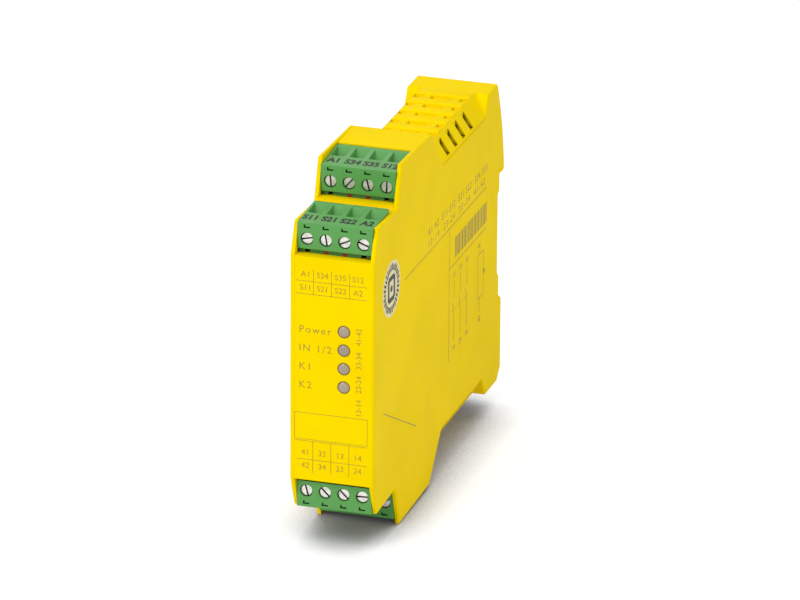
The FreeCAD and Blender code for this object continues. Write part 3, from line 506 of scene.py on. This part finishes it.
def roof_ridges(name, side):
    """Low rounded ridges across a vented roof, before, between and behind its rows of recesses."""
    mesh = bmesh.new()
    height, reach, sunk = 0.5, 2.2, 0.03
    taper, within, steps = 0.9, 0.3, 12
    half = ROOF_HALF
    for ridge in range(RIDGES):
        centre = FIRST_ROW + (ridge - 0.5) * ROW_PITCH
        sections = []
        for place in (-half, -half + within, -half + taper, half - taper, half - within, half):
            share = min(1.0, (half - abs(place)) / taper)
            rise = height * math.sin(share * math.pi / 2)
            section = []
            for step in range(steps + 1):
                angle = math.pi * step / steps
                section.append(mesh.verts.new((
                    place * MM, FRONT + (centre - reach * math.cos(angle)) * MM,
                    side * (ROOF_TOP - sunk + rise * math.sin(angle)) * MM)))
            sections.append(section)
        for one, two in zip(sections, sections[1:]):
            for step in range(steps):
                face = mesh.faces.new((one[step], one[step + 1], two[step + 1], two[step]))
                face.smooth = True
            mesh.faces.new((one[steps], one[0], two[0], two[steps]))
    bmesh.ops.remove_doubles(mesh, verts=mesh.verts, dist=0.001 * MM)
    bmesh.ops.recalc_face_normals(mesh, faces=mesh.faces)
    add_piece(name, mesh, "root", MATERIALS["housing_yellow"])


round_sticker()
painted_lamp_rim_shade()
for number, height in enumerate(LAMP_HEIGHTS, start=1):
    lamp_lens(number, height)
roof_ridges("upper_roof_ridges", 1)
roof_ridges("lower_roof_ridges", -1)


# ---------------------------------------------------------------- floor, light and camera
def looked_at(tree):
    """One on rays from the camera, from a reflection or through glass, and nought on others."""
    path = tree.nodes.new("ShaderNodeLightPath")
    total = path.outputs["Is Camera Ray"]
    for other in ("Is Glossy Ray", "Is Transmission Ray"):
        larger = tree.nodes.new("ShaderNodeMath")
        larger.operation = "MAXIMUM"
        tree.links.new(total, larger.inputs[0])
        tree.links.new(path.outputs[other], larger.inputs[1])
        total = larger.outputs[0]
    return total


def floor():
    """A pale floor that is seen as white, with the part's soft contact shadow: a faint real one in
    its diffuse light, and a painted one where its emission dims near the part.
    """
    mesh = bpy.data.meshes.new("floor")
    size, gap = 3.0, 0.05 * MM
    mesh.from_pydata([(-size, -size, 0), (size, -size, 0), (size, size, 0), (-size, size, 0)], [],
                     [(0, 1, 2, 3)])
    mesh.transform(Matrix.Translation((0, 0, low.z - gap)))
    plane = bpy.data.objects.new("floor", mesh)
    bpy.context.scene.collection.objects.link(plane)
    nodes = Nodes("floor")
    nodes.shader.inputs["Base Color"].default_value = (0.8, 0.8, 0.8, 1)
    nodes.shader.inputs["Roughness"].default_value = 0.9
    nodes.shader.inputs["Specular IOR Level"].default_value = 0.1
    plain = nodes.add("ShaderNodeBsdfDiffuse", Color=(0.32, 0.32, 0.32, 1))
    glow = nodes.add("ShaderNodeEmission")
    # Painted contact shadow: ambient occlusion dims the emission seen on the floor near the part.
    painted_shadow_reach = 26 * MM
    hollow = nodes.add("ShaderNodeAmbientOcclusion", samples=8, Distance=painted_shadow_reach)
    shade = nodes.add("ShaderNodeMapRange", From_Min=0.45, From_Max=0.7, To_Min=0.02, To_Max=0.82)
    seen = nodes.add("ShaderNodeAddShader")
    choice = nodes.add("ShaderNodeMixShader")
    nodes.link(hollow.outputs["AO"], shade.inputs["Value"])
    nodes.link(shade.outputs["Result"], glow.inputs["Strength"])
    nodes.link(plain.outputs[0], seen.inputs[0])
    nodes.link(glow.outputs[0], seen.inputs[1])
    nodes.link(looked_at(nodes.tree), choice.inputs[0])
    nodes.link(nodes.shader.outputs[0], choice.inputs[1])
    nodes.link(seen.outputs[0], choice.inputs[2])
    nodes.link(choice.outputs[0], nodes.tree.nodes["Material Output"].inputs["Surface"])
    mesh.materials.append(nodes.material)


def world():
    """Even studio light that is seen as white."""
    sky = bpy.data.worlds.new("studio")
    sky.use_nodes = True
    tree = sky.node_tree
    lit = tree.nodes["Background"]
    seen = tree.nodes.new("ShaderNodeBackground")
    for background, strength in ((lit, 0.45), (seen, 1.0)):
        background.inputs["Color"].default_value = (1, 1, 1, 1)
        background.inputs["Strength"].default_value = strength
    mix = tree.nodes.new("ShaderNodeMixShader")
    tree.links.new(looked_at(tree), mix.inputs[0])
    tree.links.new(lit.outputs[0], mix.inputs[1])
    tree.links.new(seen.outputs[0], mix.inputs[2])
    tree.links.new(mix.outputs[0], tree.nodes["World Output"].inputs["Surface"])
    bpy.context.scene.world = sky


def lamp(name, place, size, power):
    """A square area light that faces the part's middle, placed in metres from there."""
    light = bpy.data.lights.new(name, "AREA")
    light.size = size
    light.energy = power
    holder = bpy.data.objects.new(name, light)
    bpy.context.scene.collection.objects.link(holder)
    middle = (low + high) / 2
    holder.location = middle + Vector(place)
    holder.rotation_euler = (middle - holder.location).to_track_quat("-Z", "Y").to_euler()


def camera():
    """The photograph's view: from the right and above, through a long lens, nearly level."""
    turn, rise, roll = (math.radians(angle) for angle in (17.24, 21.05, 0.39))
    aside, raised, distance = 17.31, 18.26, 2063.9  # mm
    back = Vector((math.sin(turn) * math.cos(rise), -math.cos(turn) * math.cos(rise),
                   math.sin(rise)))
    right = Vector((math.cos(turn), math.sin(turn), 0))
    up = back.cross(right)
    right, up = (right * math.cos(roll) + up * math.sin(roll),
                 up * math.cos(roll) - right * math.sin(roll))
    lens = bpy.data.cameras.new("camera")
    lens.sensor_width = 36
    lens.lens = 365
    lens.clip_end = 20
    holder = bpy.data.objects.new("camera", lens)
    bpy.context.scene.collection.objects.link(holder)
    panel_centre = Vector((0, FRONT, 0))
    holder.matrix_world = Matrix((right, up, back)).transposed().to_4x4()
    holder.location = panel_centre + (right * aside + up * raised + back * distance) * MM
    bpy.context.scene.camera = holder


floor()
world()
lamp("key", (-0.55, -0.85, 0.7), 0.7, 7)
lamp("fill", (0.9, -0.5, 0.35), 0.9, 3.3)
lamp("top", (0.0, 0.15, 1.1), 0.8, 3.2)
camera()
bpy.context.scene.view_settings.view_transform = "Standard"
